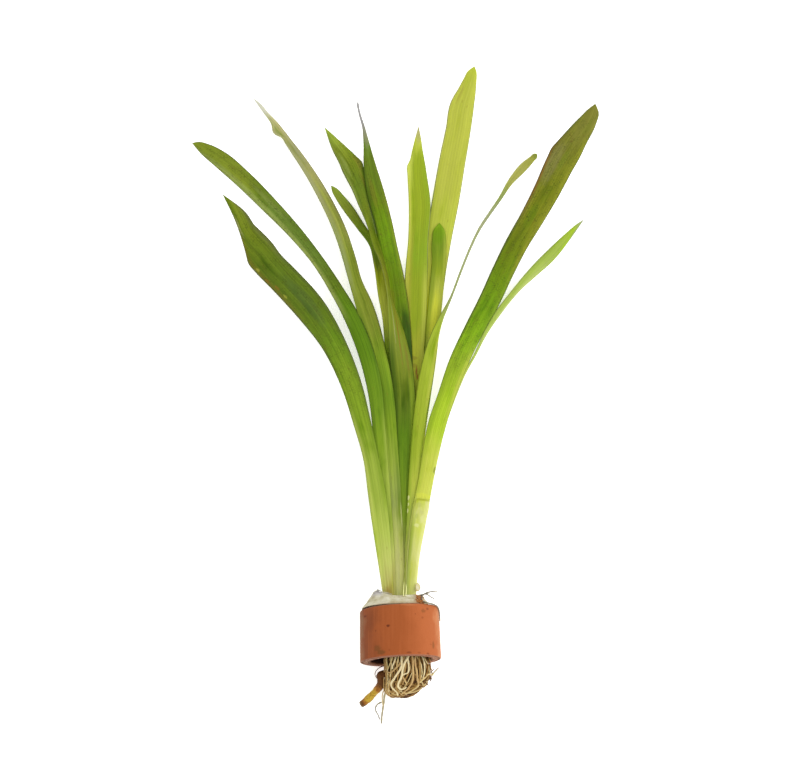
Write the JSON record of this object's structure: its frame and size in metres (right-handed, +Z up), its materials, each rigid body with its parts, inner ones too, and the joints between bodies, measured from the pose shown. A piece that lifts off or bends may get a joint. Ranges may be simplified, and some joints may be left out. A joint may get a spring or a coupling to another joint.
{
  "type": "vallisneria plant",
  "caption": "Vallisneria lying down: long strap leaves fan out of a wool-packed fired-clay ring, with a bush of roots and a cut runner at the other end.",
  "frame": {"origin": "middle of the plant's outline, on the surface it lies on", "axes": "+Y from the roots towards the leaf tips, +Z up from the surface, +X to the right seen from above with the leaves pointing away"},
  "size_m": [0.1818, 0.296, 0.0349],
  "materials": {
    "clay": "unglazed, matte, slightly rough",
    "wool": "fibrous, matte",
    "crown": "moist, satin",
    "roots": "stringy, moist, cream to tan",
    "runner": "smooth, satin, golden brown",
    "fine_root": "thin, matte, tan to grey",
    "leaf_dark": "thin, satin, dark olive with parallel veins",
    "leaf_green": "thin, satin, mid green with parallel veins",
    "leaf_pale": "thin, satin, yellow-green with parallel veins",
    "dry_leaf": "dry, papery, pale yellow"
  },
  "bodies": {
    "root": {"clay_ring": "clay", "wool_plug": "wool", "crown": "crown", "root_tuft": "roots", "runner_stub": "runner", "long_root": "fine_root", "looped_root": "fine_root", "side_root": "fine_root", "top_root": "fine_root", "leaf_low_left": "leaf_dark", "leaf_upper_left": "leaf_green", "leaf_narrow_left": "leaf_green", "leaf_cut_tip": "leaf_dark", "leaf_thread_tip": "leaf_dark", "leaf_small": "leaf_dark", "leaf_pale_centre": "leaf_pale", "leaf_tallest": "leaf_pale", "leaf_young": "leaf_pale", "leaf_twisted": "leaf_green", "leaf_long_right": "leaf_dark", "leaf_low_right": "leaf_pale", "old_sheath": "dry_leaf", "dry_scale": "dry_leaf"}
  },
  "joints": []
}
